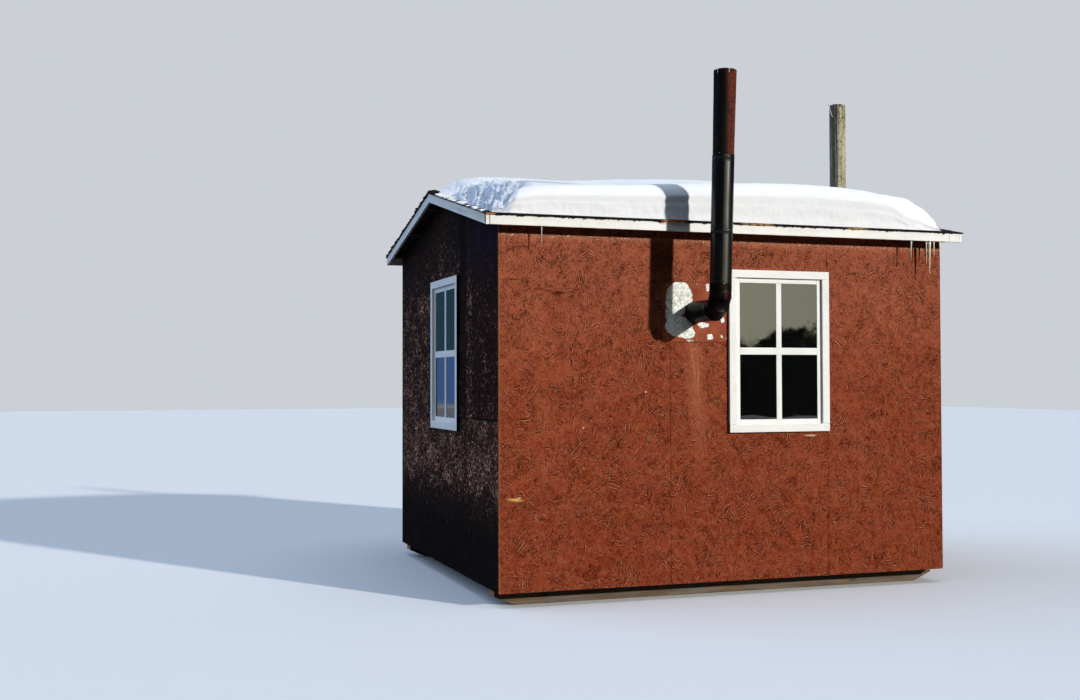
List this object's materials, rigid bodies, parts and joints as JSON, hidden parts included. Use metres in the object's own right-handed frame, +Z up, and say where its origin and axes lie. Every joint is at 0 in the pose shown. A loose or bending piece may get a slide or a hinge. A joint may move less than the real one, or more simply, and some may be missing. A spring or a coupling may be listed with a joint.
{
  "type": "ice fishing hut",
  "caption": "Small sheathed hut on runners with a snow-covered gable roof, four-pane windows, a plain door, a stove pipe standing off the long wall and a timber mast.",
  "frame": {"origin": "centre of the whole part's box, on the level ground under the runners", "axes": "+Z up; +X along the long walls, from the window gable to the mast gable; the long wall with the stove pipe faces -Y"},
  "size_m": [3.793, 3.4354, 3.875],
  "materials": {
    "painted_sheet": "brick red paint, worn matt",
    "timber": "rough",
    "floor_wood": "rough",
    "runner_wood": "rough",
    "white_paint": "satin",
    "glass": "clear",
    "roof_sheet": "rough",
    "shingle": "granular",
    "snow": "soft white",
    "plate_metal": "peeling paint on zinc",
    "black_pipe": "satin black",
    "rusted_pipe": "rusted",
    "black_iron": "matt",
    "mast_wood": "weathered"
  },
  "bodies": {
    "root": {"runners": "runner_wood", "floor_frame": "timber", "floor_boards": "floor_wood", "wall_plates": "timber", "front_studs": "timber", "back_studs": "timber", "left_studs": "timber", "right_studs": "timber", "front_sheets": "painted_sheet", "back_sheets": "painted_sheet", "left_sheets": "painted_sheet", "right_sheets": "painted_sheet", "front_casing": "white_paint", "front_jamb": "white_paint", "front_sash": "white_paint", "front_glass": "glass", "left_casing": "white_paint", "left_jamb": "white_paint", "left_sash": "white_paint", "left_glass": "glass", "door_jamb": "white_paint", "door_casing": "white_paint", "door_leaf": "painted_sheet", "door_hinges": "black_iron", "door_pull": "black_iron", "rafters": "timber", "ridge_board": "timber", "lookouts": "timber", "roof_deck": "roof_sheet", "fascia_front": "white_paint", "fascia_back": "white_paint", "rake_left": "white_paint", "rake_right": "white_paint", "shingles_front": "shingle", "shingles_back": "shingle", "ridge_shingles": "shingle", "roof_snow": "snow", "pipe_plate": "plate_metal", "pipe_inlet": "black_pipe", "pipe_elbow": "black_pipe", "pipe_low": "black_pipe", "pipe_mid": "black_pipe", "pipe_top": "rusted_pipe", "mast": "mast_wood", "mast_blocks": "timber"}
  },
  "joints": []
}
